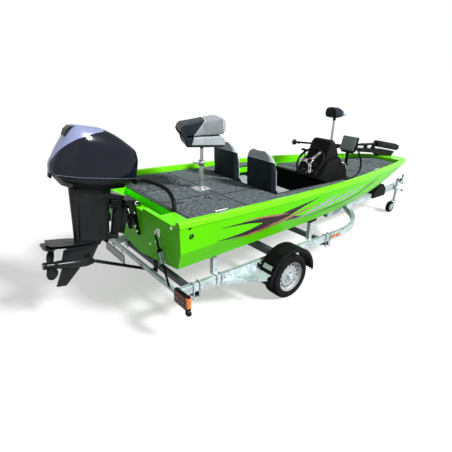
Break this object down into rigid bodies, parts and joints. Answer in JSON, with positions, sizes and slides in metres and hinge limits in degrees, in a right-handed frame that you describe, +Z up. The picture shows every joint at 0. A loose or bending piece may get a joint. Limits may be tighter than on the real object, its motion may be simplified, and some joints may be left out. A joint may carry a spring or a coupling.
{
  "type": "bass boat on a single-axle trailer",
  "caption": "Decked open fishing boat with outboard, helm console and pedestal seats, standing on its galvanised road trailer.",
  "frame": {"origin": "on the ground at the middle of the overall length, in the middle plane", "axes": "+X forward to the bow and coupling, +Y to port, +Z up"},
  "size_m": [6.4901, 2.06, 1.9526],
  "materials": {
    "green_paint": "gloss",
    "carpet": "matte",
    "black_carpet": "matte",
    "black_metal": "satin",
    "steel": "satin",
    "black_gloss": "gloss",
    "cowl_paint": "gloss",
    "propeller_paint": "satin",
    "aluminium_tube": "satin",
    "seat_charcoal": "satin",
    "seat_grey": "satin",
    "black_plastic": "matte",
    "grey_plastic": "matte",
    "galvanised": "matte",
    "tyre_rubber": "matte",
    "rim_silver": "satin",
    "lamp_red": "gloss",
    "engine_block": "matte"
  },
  "bodies": {
    "boat_and_trailer": {"boat_hull": "green_paint", "gunwales": "green_paint", "aft_deck": "carpet", "front_deck": "carpet", "cockpit_liner": "black_carpet", "cleats": "steel", "clamp_bracket": "black_metal", "motor_support": "black_metal", "aft_pedestal": "aluminium_tube", "seat_bases": "seat_grey", "bow_pedestal": "aluminium_tube", "console": "black_plastic", "console_arm": "black_plastic", "fishfinder": "grey_plastic", "bow_motor_mount": "black_metal", "bow_motor": "black_plastic", "frame_starboard": "galvanised", "frame_port": "galvanised", "cross_members": "black_metal", "support_brackets": "galvanised", "rollers_and_pads": "black_plastic", "axle": "black_metal", "mudguards": "black_plastic", "drawbar": "galvanised", "coupling": "galvanised", "bow_rest": "black_plastic", "jockey_tube": "galvanised", "light_board": "galvanised", "lamps": "lamp_red"},
    "starboard_wheel": {"tyre_starboard": "tyre_rubber", "rim_starboard": "rim_silver"},
    "port_wheel": {"tyre_port": "tyre_rubber", "rim_port": "rim_silver"},
    "jockey_caster": {"jockey_fork": "galvanised"},
    "jockey_roller": {"jockey_wheel": "tyre_rubber"},
    "outboard_swivel": {"swivel_bracket": "black_metal"},
    "outboard": {"midsection": "black_gloss", "lower_cowl": "black_gloss", "cowl": "cowl_paint", "gearcase": "black_gloss", "engine": "engine_block"},
    "propeller_shaft": {"propeller": "propeller_paint"},
    "helm": {"steering_wheel": "black_plastic"},
    "aft_seat": {"aft_seat_base": "seat_charcoal"},
    "aft_seat_backrest": {"aft_seat_back": "seat_grey"},
    "bow_seat": {"bow_saddle": "seat_charcoal"},
    "starboard_backrest": {"seat_back_starboard": "seat_charcoal"},
    "port_backrest": {"seat_back_port": "seat_charcoal"},
    "starboard_hatch": {"aft_hatch_starboard": "carpet"},
    "port_hatch": {"aft_hatch_port": "carpet"},
    "bow_hatch_lid": {"bow_hatch": "carpet"}
  },
  "joints": [
    {"name": "starboard_wheel_spin", "type": "hinge", "parent": "boat_and_trailer", "child": "starboard_wheel", "pos_m": [-0.912, -0.895, 0.2623], "axis": [0, 1, 0], "continuous": true},
    {"name": "port_wheel_spin", "type": "hinge", "parent": "boat_and_trailer", "child": "port_wheel", "pos_m": [-0.912, 0.895, 0.2623], "axis": [0, 1, 0], "continuous": true},
    {"name": "jockey_swivel", "type": "hinge", "parent": "boat_and_trailer", "child": "jockey_caster", "pos_m": [2.885, -0.078, 0.202], "axis": [0, 0, 1], "continuous": true},
    {"name": "jockey_wheel_spin", "type": "hinge", "parent": "jockey_caster", "child": "jockey_roller", "pos_m": [2.78, -0.078, 0.1], "axis": [0, 1, 0], "continuous": true},
    {"name": "outboard_tilt", "type": "hinge", "parent": "boat_and_trailer", "child": "outboard_swivel", "pos_m": [-2.32368, 0, 1.17355], "axis": [0, 1, 0], "range_deg": [0, 50]},
    {"name": "outboard_steer", "type": "hinge", "parent": "outboard_swivel", "child": "outboard", "pos_m": [-2.4714, 0, 1.19959], "axis": [0.1736, 0, 0.9848], "range_deg": [-30, 30]},
    {"name": "propeller_spin", "type": "hinge", "parent": "outboard", "child": "propeller_shaft", "pos_m": [-3.12302, 0, 0.6829], "axis": [0.9848, 0, -0.1736], "continuous": true},
    {"name": "wheel_turn", "type": "hinge", "parent": "boat_and_trailer", "child": "helm", "pos_m": [-0.03001, -0.36, 1.35554], "axis": [-0.809, 0, 0.5878], "range_deg": [-720, 720]},
    {"name": "aft_seat_swivel", "type": "hinge", "parent": "boat_and_trailer", "child": "aft_seat", "pos_m": [-1.45615, 0, 1.64648], "axis": [0.0175, 0, 0.9998], "continuous": true},
    {"name": "aft_seat_fold", "type": "hinge", "parent": "aft_seat", "child": "aft_seat_backrest", "pos_m": [-1.68162, 0.10168, 1.81544], "axis": [-0.4067, -0.9135, 0.0071], "range_deg": [0, 95]},
    {"name": "bow_seat_swivel", "type": "hinge", "parent": "boat_and_trailer", "child": "bow_seat", "pos_m": [0.85703, 0, 1.80813], "axis": [0.0175, 0, 0.9998], "continuous": true},
    {"name": "starboard_backrest_fold", "type": "hinge", "parent": "boat_and_trailer", "child": "starboard_backrest", "pos_m": [-0.75452, -0.31, 1.04614], "axis": [0, 1, 0], "range_deg": [0, 80]},
    {"name": "port_backrest_fold", "type": "hinge", "parent": "boat_and_trailer", "child": "port_backrest", "pos_m": [-0.75452, 0.34, 1.04614], "axis": [0, 1, 0], "range_deg": [0, 80]},
    {"name": "starboard_hatch_lift", "type": "hinge", "parent": "boat_and_trailer", "child": "starboard_hatch", "pos_m": [-2.05478, -0.662, 1.15685], "axis": [0.9998, 0, -0.0175], "range_deg": [0, 85]},
    {"name": "port_hatch_lift", "type": "hinge", "parent": "boat_and_trailer", "child": "port_hatch", "pos_m": [-2.05478, 0.662, 1.15685], "axis": [-0.9998, 0, 0.0175], "range_deg": [0, 85]},
    {"name": "bow_hatch_lift", "type": "hinge", "parent": "boat_and_trailer", "child": "bow_hatch_lid", "pos_m": [1.94542, 0, 1.01902], "axis": [0, 1, 0], "range_deg": [0, 85]}
  ],
  "couplings": [
    {"joint": "wheel_turn", "follows": "outboard_steer", "ratio": 24}
  ]
}
